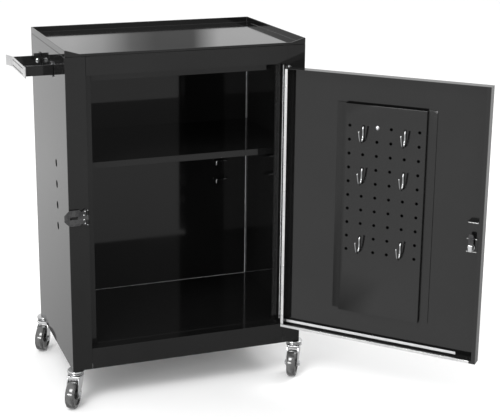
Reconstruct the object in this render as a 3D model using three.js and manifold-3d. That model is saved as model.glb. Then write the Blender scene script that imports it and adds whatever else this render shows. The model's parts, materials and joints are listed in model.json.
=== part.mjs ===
// Rolling tool chest: a folded sheet-steel cabinet on four swivel casters, with one
// pan door on a piano hinge, a pegboard with hooks inside the door, a shelf, a rimmed
// top tray, a cam lock, a hasp and a side handle. Millimetres, +Z up.
import * as THREE from "three";
import { mergeVertices } from "three/addons/utils/BufferGeometryUtils.js";
import Module from "manifold-3d";

const wasm = await Module();
wasm.setup();

// ---------------------------------------------------------------- driving sizes

// Cabinet body, without casters. X runs across the front, Y from front to back.
const bodyWidth = 442;
const bodyDepth = 291;
const bodyHeight = 585;
const sheet = 1;
const seam = 0.3;

// Front frame around the door opening.
const leftStileWidth = 36;
const rightStileWidth = 34.3;
const headerHeight = 45;
const bottomRailHeight = 39;
const stopLip = 14;
const doorStopGap = 3;

// Folded edges of the side panels.
const panelFlange = 12;
const bottomFlange = 30;

// Top tray: a floor with a rim, cut down along the front between two slants.
const trayFloor = 1.2;
const rimHeight = 10.5;
const frontRimHeight = 3.5;
const rimSlant = 24;
const rimWall = 2.4;

// Shelf and the two rails that carry it.
const shelfTop = 375;
const shelfFrontY = 42;
const shelfLip = 12;
const shelfHem = 8;
const floorDrop = 12;
const railLeg = 13;
const railFrontY = 50;
const railBackGap = 20;

// Row of round holes in each side panel.
const sideHoleRadius = 7;
const sideHoleY = 93.5;
const sideHoleCount = 4;
const sideHoleLowest = 248;
const sideHolePitch = 39.5;

// Two wire hooks on the back panel.
const wallHookWire = 1.75;
const wallHookFromRight = 46;
const wallHookReach = 23;
const wallHookDrop = 9;
const wallHookHeights = { wall_hook_upper: 291, wall_hook_lower: 252 };

// Door pan, hung on the right-hand stile.
const doorThickness = 20;
const doorLip = 7;
const doorFootLip = 5;
const doorFreeGap = 1.2;
const doorTopGap = 4.5;
const doorBottomGap = 4;
const doorOpenAngle = THREE.MathUtils.degToRad(133.5);

// Piano hinge between the right stile and the door.
const leafThickness = 0.9;
const leafGap = 0.4;
const leafDepth = 16;
const barrelRadius = 3;
const hingePinRadius = 1.2;
const hingePinClearance = 0.3;
const hingePinHead = 2.2;
const hingePinHeadThickness = 1.5;
const knucklesPerLeaf = 8;

// Pegboard on the inner face of the door.
const pegboardSideMargin = 108.6;
const pegboardEndMargin = 53;
const pegboardStand = 11;
const pegboardWing = 15.5;
const pegPitch = 25.4;
const pegHoleRadius = 2.8;
const pegTopMargin = 39;
const pegBlankBelow = 118;
const pegEdgeMargin = 11.5;

// Wire hooks in the pegboard.
const pegWire = 1.8;
const pegReach = 22;
const pegDrop = 27;
const hookColumnShare = 0.2;
const hookRowShare = 0.4;

// Cam lock near the free edge of the door.
const lockInset = 18;
const lockHeight = 256;
const lockBodyRadius = 6.5;
const lockHeadRadius = 9.5;
const lockHeadThickness = 2.5;
const plugRadius = 4;
const plugTenon = 2.5;
const lockClearance = 0.3;
const camLength = 24;
const camWidth = 9;
const camThickness = 2;
const camChamfer = 2;
const plugTenonEnd = 1.5;
const keySlotWidth = 1.4;
const keySlotHeight = 5.6;
const keySlotDepth = 8;
const lockCoverWidth = 21;
const lockCoverHeight = 52;
const lockCoverBelow = 9;
const lockCoverSetback = 0.7;
const lockCoverStepHeight = 24;
const lockCoverStepDepth = 4;

// Hasp on the left stile, and its staple on the door.
const haspHeight = 289.5;
const haspAxisInset = 3;
const haspLength = 42;
const haspWidth = 29;
const haspPlate = 1.5;
const haspBarrel = 2.4;
const haspPinRadius = 1.1;
const haspStand = 0.5;
const haspSlotLength = 14;
const haspSlotWidth = 5;
const haspSlotFromEnd = 10;
const haspCorner = 9;
const haspWaist = 4;
const haspWaistLength = 9;
const haspEar = 3;
const haspBaseShare = 0.6;
const haspBarrelInset = 2;
const haspPinHead = 1.92;
const haspPinHeadThickness = 1;
const haspBaseThickness = 1.2;
const stapleWire = 1.75;
const stapleHalfWidth = 3.4;
const stapleHeight = 8.2;

// Side handle on the left panel.
const handleFrontY = 95;
const handleSpan = 103.5;
const handleBelowTop = 58;
const handleBar = 18.5;
const handleReach = 52;
const handlePlate = 2.5;
const gripPlate = 2;
const gripFrontEar = 18;
const gripBackEar = 26;
const gripEarAngle = THREE.MathUtils.degToRad(16);
const bracketPlate = 2;
const bracketHeight = 26;
const bracketTab = 14;
const bracketFoot = 16;
const handleBoltRadius = 2.2;
const handleBoltHead = 4.6;
const handleBoltFromPanel = 7;
const handleBoltEnd = 2;
const handleBoltRim = 1.2;
const handleBoltDome = 3.2;

// Swivel casters under the four corners.
const casterHeading = THREE.MathUtils.degToRad(-31.5);
const wheelRadius = 25;
const wheelWidth = 17;
const wheelTopDrop = 16;
const hubMargin = 2.5;
const hubSlope = 1;
const wheelDish = 2;
const treadWall = 7;
const treadWallSlope = 1.5;
const treadShoulder = 1.6;
const casterTrail = 18;
const stemRadius = 4;
const stemLength = 24;
const socketWall = 0.7;
const socketLength = 22;
const socketSideGap = 0.5;
const socketEndGap = 1.7;
const raceRadius = 16;
const raceHeight = 8;
const raceCone = 3;
const raceShoulder = 2;
const raceShoulderDrop = 1.5;
const kingRivetRadius = 7;
const kingRivetDrop = 2.5;
const crownRadius = 15;
const crownPlate = 2.4;
const crownBackInset = 4;
const forkPlate = 2;
const wheelSideGap = 1.2;
const axleRadius = 3;
const axleHead = 5.5;
const axleHeadThickness = 2.5;
const bossMargin = 1.5;
const bossRise = 4;
const cheekWaistInset = 7;
const cheekWaistDrop = 9;
const casterClearance = 0.3;

// ---------------------------------------------------------------- derived places

const wallTop = bodyHeight - rimHeight - trayFloor - seam;
const openingLeft = leftStileWidth;
const openingRight = bodyWidth - rightStileWidth;
const openingTop = bodyHeight - headerHeight;
const openingBottom = bottomRailHeight;
const stopY = doorThickness + doorStopGap;
const backPanelBackY = bodyDepth - sheet - seam;
const backPanelFrontY = backPanelBackY - sheet;
const innerLeft = sheet + seam;
const innerRight = bodyWidth - sheet - seam;
const handleBottom = bodyHeight - handleBelowTop;

const hingeGap = 2 * (seam + leafThickness) + leafGap;
const doorLeft = openingLeft + doorFreeGap;
const doorRight = openingRight - hingeGap;
const doorTop = openingTop - doorTopGap;
const doorBottom = openingBottom + doorBottomGap;
const doorHeight = doorTop - doorBottom;
const hingeX = openingRight - seam - leafThickness + barrelRadius;
const hingeY = -barrelRadius - seam;
const lockX = doorLeft + lockInset;

const socketRadius = stemRadius + casterClearance + socketWall;
const casterInsetX = sheet + socketSideGap + socketRadius;
const casterInsetY = 2 * sheet + seam + socketEndGap + socketRadius;
const crownTop = -raceHeight - casterClearance;
const crownBottom = crownTop - crownPlate;
const axleZ = -wheelTopDrop - wheelRadius;

// ---------------------------------------------------------------- shape helpers

// A box given by its two opposite corners.
function box(x0, x1, y0, y1, z0, z1) {
  const geometry = new THREE.BoxGeometry(x1 - x0, y1 - y0, z1 - z0);
  return geometry.translate((x0 + x1) / 2, (y0 + y1) / 2, (z0 + z1) / 2);
}

function outline(points) {
  return new THREE.Shape(points.map(([u, v]) => new THREE.Vector2(u, v)));
}

function extrude(shape, depth, curveSegments = 12) {
  return new THREE.ExtrudeGeometry(shape, { depth, curveSegments, bevelEnabled: false });
}

// An outline in XY carried up along Z.
function prismZ(shape, z0, z1, curveSegments) {
  return extrude(shape, z1 - z0, curveSegments).translate(0, 0, z0);
}

// An outline in XZ carried along Y.
function prismY(shape, y0, y1, curveSegments) {
  return extrude(shape, y1 - y0, curveSegments).rotateX(Math.PI / 2).translate(0, y1, 0);
}

// An outline in YZ carried along X.
function prismX(shape, x0, x1, curveSegments) {
  const geometry = extrude(shape, x1 - x0, curveSegments);
  return geometry.rotateZ(Math.PI / 2).rotateY(Math.PI / 2).translate(x0, 0, 0);
}

// A solid of revolution about Z from points of radius and height.
function turned(points, segments = 24) {
  const profile = points.map(([r, z]) => new THREE.Vector2(r, z));
  return new THREE.LatheGeometry(profile, segments).rotateX(Math.PI / 2);
}

function rodZ(radius, z0, z1, segments = 16) {
  const geometry = new THREE.CylinderGeometry(radius, radius, z1 - z0, segments);
  return geometry.rotateX(Math.PI / 2).translate(0, 0, (z0 + z1) / 2);
}

function rodY(radius, y0, y1, segments = 16) {
  const geometry = new THREE.CylinderGeometry(radius, radius, y1 - y0, segments);
  return geometry.translate(0, (y0 + y1) / 2, 0);
}

function rodX(radius, x0, x1, segments = 16) {
  const geometry = new THREE.CylinderGeometry(radius, radius, x1 - x0, segments);
  return geometry.rotateZ(Math.PI / 2).translate((x0 + x1) / 2, 0, 0);
}

// A round wire along a smooth curve through the given points.
function wire(radius, points, steps, sides = 8) {
  const path = new THREE.CatmullRomCurve3(points.map((p) => new THREE.Vector3(...p)), false, "centripetal");
  const section = new THREE.Shape().absarc(0, 0, radius, 0, 2 * Math.PI);
  return new THREE.ExtrudeGeometry(section, { steps, curveSegments: sides / 2, extrudePath: path });
}

function solid(geometry) {
  const bare = geometry.clone();
  bare.deleteAttribute("normal");
  bare.deleteAttribute("uv");
  const merged = mergeVertices(bare, 1e-4);
  return new wasm.Manifold(
    new wasm.Mesh({
      numProp: 3,
      vertProperties: new Float32Array(merged.attributes.position.array),
      triVerts: new Uint32Array(merged.index.array),
    }),
  );
}

function toGeometry(manifold) {
  const { vertProperties, triVerts } = manifold.getMesh();
  const geometry = new THREE.BufferGeometry();
  geometry.setAttribute("position", new THREE.BufferAttribute(new Float32Array(vertProperties), 3));
  geometry.setIndex(new THREE.BufferAttribute(new Uint32Array(triVerts), 1));
  geometry.computeVertexNormals();
  return geometry;
}

// Joins the first list of geometries and cuts the second list out of them.
function build(joined, cuts = []) {
  const whole = joined.map(solid).reduce((sum, next) => sum.add(next));
  return toGeometry(cuts.map(solid).reduce((rest, tool) => rest.subtract(tool), whole));
}

// ---------------------------------------------------------------- materials

function finish(color, roughness, metalness) {
  return new THREE.MeshStandardMaterial({ color, roughness, metalness });
}

const blackEnamel = () => finish(0x0b0b0c, 0.12, 0);
const blackSteel = () => finish(0x161617, 0.4, 0.3);
const chrome = () => finish(0xd9dadc, 0.12, 1);
const zinc = () => finish(0xb9bcc0, 0.32, 1);
const blackRubber = () => finish(0x111111, 0.35, 0);

function part(name, geometry, material) {
  const mesh = new THREE.Mesh(geometry, material);
  mesh.name = name;
  return mesh;
}

// ---------------------------------------------------------------- cabinet body

// Side panel: a web with flanges folded in at the front, the back and the bottom.
function sidePanel(name, side) {
  const web = box(0, sheet, sheet + seam, bodyDepth, 0, wallTop);
  const frontFlange = box(0, sheet + panelFlange, sheet + seam, 2 * sheet + seam, 0, wallTop);
  const backFlange = box(0, sheet + panelFlange, bodyDepth - sheet, bodyDepth, 0, wallTop);
  const foot = box(0, bottomFlange, sheet + seam, backPanelFrontY - seam, 0, sheet);
  const cuts = [];
  for (const y of [casterInsetY, bodyDepth - casterInsetY]) {
    cuts.push(rodZ(stemRadius + casterClearance, -sheet, 2 * sheet).translate(casterInsetX, y, 0));
  }
  for (let i = 0; i < sideHoleCount; i += 1) {
    const z = sideHoleLowest + i * sideHolePitch;
    cuts.push(rodX(sideHoleRadius, -sheet, 2 * sheet).translate(0, sideHoleY, z));
  }
  const geometry = build([web, frontFlange, backFlange, foot], cuts);
  return part(name, side === "left" ? geometry : mirrored(geometry), blackEnamel());
}

// The same piece on the other side of the cabinet's middle plane.
function mirrored(geometry) {
  const flipped = geometry.clone().scale(-1, 1, 1).translate(bodyWidth, 0, 0);
  const index = flipped.index.array;
  for (let i = 0; i < index.length; i += 3) {
    [index[i], index[i + 1]] = [index[i + 1], index[i]];
  }
  flipped.computeVertexNormals();
  return flipped;
}

function backPanel() {
  const geometry = box(innerLeft, innerRight, backPanelFrontY, backPanelBackY, 0, wallTop);
  return part("back_panel", geometry, blackEnamel());
}

// Stile: the front face, a return beside the door and a lip that stops the door.
function stile(name, side) {
  const width = side === "left" ? leftStileWidth : rightStileWidth;
  const profile = outline([
    [0, 0],
    [width, 0],
    [width, stopY],
    [width + stopLip, stopY],
    [width + stopLip, stopY + sheet],
    [width - sheet, stopY + sheet],
    [width - sheet, sheet],
    [0, sheet],
  ]);
  const geometry = build([prismZ(profile, 0, wallTop)]);
  return part(name, side === "left" ? geometry : mirrored(geometry), blackEnamel());
}

// A rail between the stiles: a face with a return folded back at the opening's edge.
function rail(name, faceBottom, faceTop, returnBottom, lipBottom) {
  const left = openingLeft + seam;
  const right = openingRight - seam;
  const lipLeft = left + stopLip;
  const lipRight = right - stopLip;
  const face = box(left, right, 0, sheet, faceBottom, faceTop);
  const fold = box(left, right, 0, stopY - seam, returnBottom, returnBottom + sheet);
  const lip = box(lipLeft, lipRight, stopY, stopY + sheet, lipBottom, returnBottom + sheet);
  const bridge = box(lipLeft, lipRight, 0, stopY + sheet, returnBottom, returnBottom + sheet);
  return part(name, build([face, fold, bridge, lip]), blackEnamel());
}

function headerRail() {
  return rail("header_rail", openingTop, wallTop, openingTop, openingTop - stopLip);
}

function bottomRail() {
  const fold = openingBottom - sheet;
  return rail("bottom_rail", 0, openingBottom, fold, fold);
}

// A flat pan with its side and back edges folded down, open at the front.
function floorPanel() {
  const front = stopY + sheet + seam;
  const back = backPanelFrontY - seam;
  const bottom = openingBottom - floorDrop;
  const block = box(innerLeft, innerRight, front, back, bottom, openingBottom);
  const under = box(
    innerLeft + sheet, innerRight - sheet, front - 1, back - sheet, bottom - 1, openingBottom - sheet,
  );
  return part("floor_panel", build([block], [under]), blackEnamel());
}

// A pan folded down on all four sides, with a hem turned back under the front edge.
function shelf() {
  const bottom = shelfTop - shelfLip;
  const back = backPanelFrontY - seam;
  const block = box(innerLeft, innerRight, shelfFrontY, back, bottom, shelfTop);
  const left = innerLeft + sheet;
  const right = innerRight - sheet;
  const hemEdge = shelfFrontY + shelfHem;
  const under = box(left, right, hemEdge, back - sheet, bottom - 1, shelfTop - sheet);
  const behindLip = box(left, right, shelfFrontY + sheet, hemEdge + 1, bottom + sheet, shelfTop - sheet);
  return part("shelf", build([block], [under, behindLip]), blackEnamel());
}

// Angle rail under one side of the shelf.
function shelfRail(name, side) {
  const top = shelfTop - shelfLip - seam;
  const back = backPanelFrontY - railBackGap;
  const ledge = box(innerLeft, innerLeft + railLeg, railFrontY, back, top - sheet, top);
  const leg = box(innerLeft, innerLeft + sheet, railFrontY, back, top - railLeg, top);
  const geometry = build([ledge, leg]);
  return part(name, side === "left" ? geometry : mirrored(geometry), blackEnamel());
}

// Tray: the floor, the full-height rim at the sides and back, and the low front rim.
function topTray() {
  const bottom = bodyHeight - rimHeight - trayFloor;
  const low = bodyHeight - rimHeight + frontRimHeight;
  const floor = box(0, bodyWidth, 0, bodyDepth, bottom, bottom + trayFloor);
  const leftRim = box(0, rimWall, 0, bodyDepth, bottom, bodyHeight);
  const rightRim = box(bodyWidth - rimWall, bodyWidth, 0, bodyDepth, bottom, bodyHeight);
  const backRim = box(0, bodyWidth, bodyDepth - rimWall, bodyDepth, bottom, bodyHeight);
  const front = outline([
    [0, bottom],
    [bodyWidth, bottom],
    [bodyWidth, bodyHeight],
    [bodyWidth - rimWall, bodyHeight],
    [bodyWidth - rimWall - rimSlant, low],
    [rimWall + rimSlant, low],
    [rimWall, bodyHeight],
    [0, bodyHeight],
  ]);
  const rim = [floor, leftRim, rightRim, backRim, prismY(front, 0, rimWall)];
  return part("top_tray", build(rim), blackEnamel());
}

// L-shaped wire hook: out of the back panel, along it, then down at the tip.
function wallHook(name, z) {
  const x = bodyWidth - wallHookFromRight;
  const y = backPanelFrontY - seam - wallHookWire;
  const out = y - 3 * wallHookWire;
  const bend = 2 * wallHookWire;
  const tip = x - wallHookReach;
  const route = [
    [x, backPanelFrontY - seam, z],
    [x, out + bend, z],
    [x - bend, out, z],
    [tip + bend, out, z],
    [tip, out, z - bend],
    [tip, out, z - wallHookDrop],
  ];
  return part(name, wire(wallHookWire, route, 14), chrome());
}

// ---------------------------------------------------------------- side handle

function handlePlaces() {
  return { front: handleFrontY, back: handleFrontY + handleSpan };
}

// Angle bracket on the panel, behind the arm that is bolted to it.
function handleBracket(end) {
  const armBack = handlePlaces()[end] + handlePlate / 2 + seam;
  const tabFar = armBack + bracketPlate;
  const footFar = armBack + bracketFoot;
  const mid = handleBottom + handleBar / 2;
  const z0 = mid - bracketHeight / 2;
  const z1 = mid + bracketHeight / 2;
  const tab = box(-bracketTab, -seam, armBack, tabFar, z0, z1);
  const foot = box(-seam - bracketPlate, -seam, armBack, footFar, z0, z1);
  return part(`handle_bracket_${end}`, build([tab, foot], [boltHole(end)]), zinc());
}

function boltHole(end) {
  const y = handlePlaces()[end];
  const z = handleBottom + handleBar / 2;
  const reach = handlePlate + bracketPlate;
  return rodY(handleBoltRadius + seam, y - reach, y + reach).translate(-handleBoltFromPanel, 0, z);
}

// Flat arm standing out from the panel.
function handleArm(end) {
  const y = handlePlaces()[end];
  const outer = -handleReach + seam;
  const arm = box(outer, -seam, y - handlePlate / 2, y + handlePlate / 2, handleBottom, handleBottom + handleBar);
  return part(`handle_arm_${end}`, build([arm], [boltHole(end)]), blackSteel());
}

// Bolt with a round head. At the front the head is behind the bracket and the shank
// ends flush with the arm; at the back the head is on the arm.
function handleBolt(end) {
  const armFace = handlePlate / 2 + seam;
  const bracketFace = armFace + bracketPlate + seam;
  const face = end === "front" ? bracketFace : armFace;
  const shankEnd = end === "front" ? -handlePlate / 2 : -bracketFace - handleBoltEnd;
  const geometry = turned([
    [0, shankEnd],
    [handleBoltRadius, shankEnd],
    [handleBoltRadius, face],
    [handleBoltHead, face],
    [handleBoltHead, face + handleBoltRim],
    [0.6 * handleBoltHead, face + 0.88 * handleBoltDome],
    [0, face + handleBoltDome],
  ]);
  geometry.rotateX(end === "front" ? -Math.PI / 2 : Math.PI / 2);
  geometry.translate(-handleBoltFromPanel, handlePlaces()[end], handleBottom + handleBar / 2);
  return part(`handle_bolt_${end}`, geometry, chrome());
}

// Grip strip across the outer ends of the arms, with an ear past each of them.
function handleGrip() {
  const { front, back } = handlePlaces();
  const x0 = -handleReach - gripPlate;
  const z1 = handleBottom + handleBar;
  const bar = box(x0, -handleReach, front - gripFrontEar, back + handlePlate, handleBottom, z1);
  const ear = box(-gripPlate, 0, 0, gripBackEar, handleBottom, z1);
  ear.rotateZ(gripEarAngle).translate(-handleReach, back + handlePlate, 0);
  const corner = rodZ(gripPlate, handleBottom, z1, 16).translate(-handleReach, back + handlePlate, 0);
  const wedge = box(x0 - gripPlate, -handleReach, back, back + 3 * handlePlate, handleBottom, z1);
  const bend = toGeometry(solid(corner).intersect(solid(wedge)));
  return part("handle_grip", build([bar, ear, bend]), zinc());
}

// ---------------------------------------------------------------- hasp

function haspAxis() {
  return { x: leftStileWidth - haspAxisInset, y: -haspBarrel - haspStand };
}

// Barrel piece of the hasp hinge, bored for the pin.
function haspKnuckle(z0, z1) {
  const { x, y } = haspAxis();
  return rodZ(haspBarrel, z0, z1).translate(x, y, 0);
}

function haspBore() {
  const { x, y } = haspAxis();
  return rodZ(haspPinRadius + seam, haspHeight - haspWidth, haspHeight + haspWidth).translate(x, y, 0);
}

// Three barrel stretches: the outer two belong to the base, the middle one to the strap.
function haspStretches() {
  const half = haspWidth / 2 - haspBarrelInset;
  const third = half / 3;
  return {
    lower: [haspHeight - half, haspHeight - third - seam],
    middle: [haspHeight - third, haspHeight + third],
    upper: [haspHeight + third + seam, haspHeight + half],
  };
}

function haspBase() {
  const { x } = haspAxis();
  const clear = x - haspBarrel - 2 * seam;
  const left = clear - haspBaseShare * haspLength;
  const front = -seam - haspBaseThickness;
  const { lower, upper } = haspStretches();
  const plate = box(left, clear, front, -seam, lower[0], upper[1]);
  const joined = [plate];
  for (const [z0, z1] of [lower, upper]) {
    joined.push(haspKnuckle(z0, z1));
    joined.push(box(clear - 1, x, front, -seam, z0, z1));
  }
  return part("hasp_base", build(joined, [haspBore()]), blackSteel());
}

// Slotted strap, lying open against the stile, with its corners cut off at the free end.
function haspStrap() {
  const { x, y } = haspAxis();
  const front = y - haspBaseThickness / 2;
  const clear = x - haspBarrel - 2 * seam;
  const left = x - haspLength;
  const z0 = haspHeight - haspWidth / 2;
  const z1 = haspHeight + haspWidth / 2;
  const face = outline([
    [clear, z0],
    [clear, z1],
    [clear - haspEar, z1],
    [clear - haspEar - haspWaistLength / 2, z1 - haspWaist],
    [clear - haspEar - haspWaistLength, z1],
    [left + haspCorner, z1],
    [left, z1 - haspCorner],
    [left, z0 + haspCorner],
    [left + haspCorner, z0],
    [clear - haspEar - haspWaistLength, z0],
    [clear - haspEar - haspWaistLength / 2, z0 + haspWaist],
    [clear - haspEar, z0],
  ]);
  const plate = prismY(face, front, front + haspPlate);
  const { middle } = haspStretches();
  const tab = box(clear - 1, x, front, front + haspPlate, middle[0], middle[1]);
  const slotLeft = left + haspSlotFromEnd;
  const slot = box(
    slotLeft,
    slotLeft + haspSlotLength,
    front - 1,
    front + haspPlate + 1,
    haspHeight - haspSlotWidth / 2,
    haspHeight + haspSlotWidth / 2,
  );
  const knuckle = haspKnuckle(middle[0], middle[1]);
  return part("hasp_strap", build([plate, tab, knuckle], [slot, haspBore()]), blackSteel());
}

function haspPin() {
  const { x, y } = haspAxis();
  const { lower, upper } = haspStretches();
  const head = haspPinHeadThickness;
  const geometry = turned([
    [0, lower[0] - head - seam],
    [haspPinHead, lower[0] - head - seam],
    [haspPinHead, lower[0] - seam],
    [haspPinRadius, lower[0] - seam],
    [haspPinRadius, upper[1] + seam],
    [haspPinHead, upper[1] + seam],
    [haspPinHead, upper[1] + head + seam],
    [0, upper[1] + head + seam],
  ], 16);
  return part("hasp_pin", geometry.translate(x, y, 0), zinc());
}

// Middle of the staple: where the slot lies when the strap is folded over the door.
function stapleX() {
  const { x } = haspAxis();
  const slotMiddle = x - haspLength + haspSlotFromEnd + haspSlotLength / 2;
  return 2 * x - slotMiddle;
}

// U-shaped wire loop on the outer face of the door.
function haspStaple() {
  const x = stapleX();
  const inside = sheet + 2;
  const corner = stapleWire;
  const route = [];
  for (const end of [-1, 1]) {
    const leg = [
      [x + end * stapleHalfWidth, inside, haspHeight],
      [x + end * stapleHalfWidth, 0, haspHeight],
      [x + end * stapleHalfWidth, -stapleHeight + corner, haspHeight],
      [x + end * (stapleHalfWidth - corner), -stapleHeight, haspHeight],
    ];
    route.push(...(end < 0 ? leg : leg.reverse()));
  }
  return part("hasp_staple", wire(stapleWire, route, 16), blackSteel());
}

// ---------------------------------------------------------------- door and hinge

// Pan with four flanges folded inwards, and a narrow lip at the free side and the foot.
function doorPan() {
  const inner = doorThickness;
  const shell = box(doorLeft, doorRight, 0, inner, doorBottom, doorTop);
  const hollow = box(
    doorLeft + sheet, doorRight - sheet, sheet, inner - sheet, doorBottom + sheet, doorTop - sheet,
  );
  const mouth = box(
    doorLeft + doorLip, doorRight - sheet, sheet, inner + 1, doorBottom + doorFootLip, doorTop - sheet,
  );
  const lockBore = rodY(lockBodyRadius + lockClearance, -1, 2 * sheet, 24).translate(lockX, 0, lockHeight);
  const cuts = [hollow, mouth, lockBore];
  for (const end of [-1, 1]) {
    const hole = rodY(stapleWire + seam, -1, 2 * sheet);
    cuts.push(hole.translate(stapleX() + end * stapleHalfWidth, 0, haspHeight));
  }
  return part("door_pan", build([shell], cuts), blackEnamel());
}

// Barrel stretches of one leaf: even ones belong to the frame, odd ones to the door.
function knuckleStretches(parity) {
  const count = 2 * knucklesPerLeaf;
  const pitch = doorHeight / count;
  const stretches = [];
  for (let i = parity; i < count; i += 2) {
    stretches.push([doorBottom + i * pitch + seam / 2, doorBottom + (i + 1) * pitch - seam / 2]);
  }
  return stretches;
}

function hingeBore() {
  const bore = rodZ(hingePinRadius + hingePinClearance, doorBottom - 1, doorTop + 1, 10);
  return bore.translate(hingeX, hingeY, 0);
}

function hingeLeafFrame() {
  const x1 = openingRight - seam;
  const x0 = x1 - leafThickness;
  const joined = [box(x0, x1, 0, leafDepth, doorBottom, doorTop)];
  for (const [z0, z1] of knuckleStretches(0)) {
    joined.push(rodZ(barrelRadius, z0, z1, 10).translate(hingeX, hingeY, 0));
    joined.push(box(x0, x1, hingeY, 1, z0, z1));
  }
  return part("hinge_leaf_frame", build(joined, [hingeBore()]), zinc());
}

// The door's leaf reaches round to the front of the barrel.
function hingeLeafDoor() {
  const x0 = doorRight + seam;
  const x1 = x0 + leafThickness;
  const front = hingeY - barrelRadius;
  const joined = [box(x0, x1, 0, leafDepth, doorBottom, doorTop)];
  for (const [z0, z1] of knuckleStretches(1)) {
    joined.push(rodZ(barrelRadius, z0, z1, 10).translate(hingeX, hingeY, 0));
    joined.push(box(x0, x1, front, 1, z0, z1));
    joined.push(box(x0, hingeX, front, front + leafThickness, z0, z1));
  }
  return part("hinge_leaf_door", build(joined, [hingeBore()]), zinc());
}

function hingePin() {
  const head = hingePinHeadThickness;
  const geometry = turned([
    [0, doorBottom - head - seam],
    [hingePinHead, doorBottom - head - seam],
    [hingePinHead, doorBottom - seam],
    [hingePinRadius, doorBottom - seam],
    [hingePinRadius, doorTop + seam],
    [hingePinHead, doorTop + seam],
    [hingePinHead, doorTop + head + seam],
    [0, doorTop + head + seam],
  ], 12);
  return part("hinge_pin", geometry.translate(hingeX, hingeY, 0), zinc());
}

// ---------------------------------------------------------------- pegboard

function pegboardFace() {
  return {
    left: doorLeft + pegboardSideMargin,
    right: doorRight - pegboardSideMargin,
    bottom: doorBottom + pegboardEndMargin,
    top: doorTop - pegboardEndMargin,
    inner: sheet + pegboardStand,
  };
}

// Centres of the pegboard's holes, by column from the left and row from the top.
function pegGrid() {
  const { left, right, bottom, top } = pegboardFace();
  const columns = Math.floor((right - left - 2 * pegEdgeMargin) / pegPitch) + 1;
  const rows = Math.floor((top - bottom - pegTopMargin - pegBlankBelow) / pegPitch) + 1;
  const firstX = (left + right) / 2 - ((columns - 1) * pegPitch) / 2;
  const place = (column, row) => [firstX + column * pegPitch, top - pegTopMargin - row * pegPitch];
  return { columns, rows, place };
}

// Raised face with two side walls and a flat wing along each of them.
function pegboard() {
  const { left, right, bottom, top, inner } = pegboardFace();
  const foot = sheet + seam;
  const section = outline([
    [left - pegboardWing, foot],
    [left + sheet, foot],
    [left + sheet, inner - sheet],
    [right - sheet, inner - sheet],
    [right - sheet, foot],
    [right + pegboardWing, foot],
    [right + pegboardWing, foot + sheet],
    [right, foot + sheet],
    [right, inner],
    [left, inner],
    [left, foot + sheet],
    [left - pegboardWing, foot + sheet],
  ]);
  const { columns, rows, place } = pegGrid();
  const cuts = [];
  for (let column = 0; column < columns; column += 1) {
    for (let row = 0; row < rows; row += 1) {
      const [x, z] = place(column, row);
      cuts.push(rodY(pegHoleRadius, inner - 2 * sheet, inner + sheet, 6).translate(x, 0, z));
    }
  }
  return part("pegboard", build([prismZ(section, bottom, top)], cuts), blackEnamel());
}

// J-shaped wire hook: through a hole, down the face, then out and up to the tip.
function pegHook(name, x, z) {
  const { inner } = pegboardFace();
  const stem = inner + seam + pegWire;
  const out = stem + pegReach;
  const route = [
    [x, inner - 3, z],
    [x, inner, z - 0.2],
    [x, stem, z - 2.5],
    [x, stem, z - 0.55 * pegDrop],
    [x, stem + 0.1 * pegReach, z - 0.85 * pegDrop],
    [x, stem + 0.35 * pegReach, z - pegDrop],
    [x, stem + 0.62 * pegReach, z - 0.86 * pegDrop],
    [x, stem + 0.8 * pegReach, z - 0.6 * pegDrop],
    [x, out, z - 0.15 * pegDrop],
  ];
  return part(name, wire(pegWire, route, 16), chrome());
}

function pegHooks() {
  const { columns, rows, place } = pegGrid();
  const lowest = rows - 2;
  const fromEdge = Math.round(hookColumnShare * (columns - 1));
  const hookRows = { upper: 0, middle: Math.round(hookRowShare * lowest), lower: lowest };
  const hookColumns = { left: columns - 1 - fromEdge, right: fromEdge };
  const hooks = [];
  for (const [level, row] of Object.entries(hookRows)) {
    for (const [side, column] of Object.entries(hookColumns)) {
      hooks.push(pegHook(`peg_hook_${level}_${side}`, ...place(column, row)));
    }
  }
  return hooks;
}

// ---------------------------------------------------------------- cam lock

// Barrel of the lock, with its head on the outer face of the door.
function lockHousing() {
  const headBack = -seam;
  const headFront = headBack - lockHeadThickness;
  const bore = plugRadius + lockClearance;
  const end = stopY - 2 * seam;
  const geometry = turned([
    [bore, headFront],
    [lockHeadRadius - 1, headFront],
    [lockHeadRadius, headBack],
    [lockBodyRadius, headBack],
    [lockBodyRadius, end],
    [bore, end],
    [bore, headFront],
  ], 24);
  geometry.rotateX(-Math.PI / 2).translate(lockX, 0, lockHeight);
  return part("lock_housing", geometry, chrome());
}

// Plug that turns in the barrel, with a key slot outside and a tenon for the cam.
function lockPlug() {
  const front = -seam - lockHeadThickness;
  const shoulder = camNearY() - seam;
  const end = camNearY() + camThickness + plugTenonEnd;
  const core = turned([
    [0, front],
    [plugRadius, front],
    [plugRadius, shoulder],
    [plugTenon, shoulder],
    [plugTenon, end],
    [0, end],
  ], 16);
  core.rotateX(-Math.PI / 2);
  const half = keySlotHeight / 2;
  const keySlot = box(-keySlotWidth / 2, keySlotWidth / 2, front - 1, front + keySlotDepth, -half, half);
  const geometry = build([core], [keySlot]).translate(lockX, 0, lockHeight);
  return part("lock_plug", geometry, chrome());
}

// The cam turns just behind the stop lip of the stile.
function camNearY() {
  return stopY + sheet + 2 * seam;
}

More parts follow.
